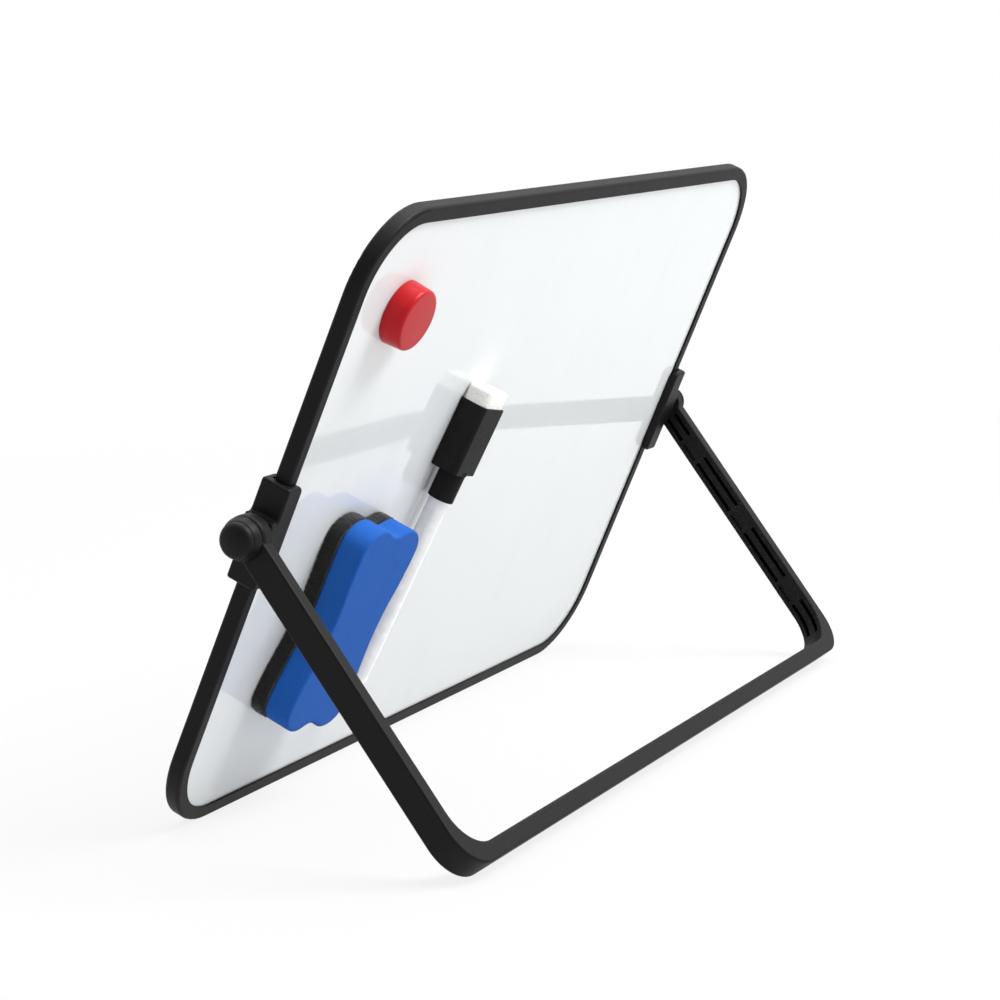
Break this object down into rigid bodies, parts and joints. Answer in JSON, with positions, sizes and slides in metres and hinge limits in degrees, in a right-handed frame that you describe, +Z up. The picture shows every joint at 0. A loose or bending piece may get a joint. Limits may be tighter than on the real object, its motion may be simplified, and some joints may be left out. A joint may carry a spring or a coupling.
{
  "type": "desk whiteboard easel",
  "caption": "Framed double-sided magnetic whiteboard that turns in a U-shaped desk stand, with a round magnet, a felt eraser and a capped marker on its writing face.",
  "frame": {"origin": "on the desk, under the middle of the object box, with the board and the stand both touching the desk", "axes": "+X along the board width, +Z up, the writing side with the accessories and the stand face -Y"},
  "size_m": [0.334, 0.1182, 0.1925],
  "materials": {
    "frame_black": "satin black moulded plastic, fine texture",
    "clamp_black": "satin black moulded plastic",
    "stand_black": "satin black moulded plastic, fine texture",
    "cap_black": "semi-gloss black moulded plastic",
    "enamel_white": "glossy white dry-wipe enamel on steel sheet",
    "core_board": "fibreboard core",
    "zinc_steel": "bright zinc plate",
    "magnet_red": "red moulded plastic, slight sheen",
    "ferrite": "sintered ferrite, matt",
    "felt_black": "pressed black felt",
    "foam_blue": "closed-cell blue foam",
    "magnet_strip": "flexible magnetic strip",
    "marker_black": "glossy black moulded plastic",
    "felt_white": "pressed white felt",
    "barrel_white": "glossy white moulded plastic",
    "nib_fibre": "ink-stained bonded fibre",
    "ink_fibre": "ink-soaked fibre"
  },
  "bodies": {
    "board": {"front_frame": "frame_black", "rear_frame": "frame_black", "front_sheet": "enamel_white", "rear_sheet": "enamel_white", "panel_core": "core_board", "left_clamp": "clamp_black", "left_pivot_nut": "zinc_steel", "left_pivot_screw": "zinc_steel", "left_spring_washer": "zinc_steel", "left_washer": "zinc_steel", "left_pivot_cap": "cap_black", "right_clamp": "clamp_black", "right_pivot_nut": "zinc_steel", "right_pivot_screw": "zinc_steel", "right_spring_washer": "zinc_steel", "right_washer": "zinc_steel", "right_pivot_cap": "cap_black"},
    "stand": {"stand_frame": "stand_black"},
    "magnet": {"magnet_shell": "magnet_red", "magnet_disc": "ferrite"},
    "eraser": {"eraser_felt": "felt_black", "eraser_foam": "foam_blue", "eraser_magnets": "magnet_strip"},
    "marker_cap": {"marker_cap": "marker_black", "cap_felt": "felt_white", "cap_magnet": "magnet_strip"},
    "pen": {"marker_nose": "barrel_white", "marker_nib": "nib_fibre", "marker_barrel": "barrel_white", "ink_reservoir": "ink_fibre", "marker_plug": "barrel_white"}
  },
  "joints": [
    {"name": "stand_hinge", "type": "hinge", "parent": "board", "child": "stand", "pos_m": [0, 0.01291, 0.09742], "axis": [1, 0, 0], "continuous": true},
    {"name": "magnet_pull", "type": "slide", "parent": "board", "child": "magnet", "axis": [0, -0.9096, -0.4155], "range_m": [0, 0.03]},
    {"name": "eraser_pull", "type": "slide", "parent": "board", "child": "eraser", "axis": [0, -0.9096, -0.4155], "range_m": [0, 0.03]},
    {"name": "marker_pull", "type": "slide", "parent": "board", "child": "marker_cap", "axis": [0, -0.9096, -0.4155], "range_m": [0, 0.025]},
    {"name": "marker_uncap", "type": "slide", "parent": "marker_cap", "child": "pen", "axis": [-0.1771, 0.4089, -0.8952], "range_m": [0, 0.026]}
  ]
}
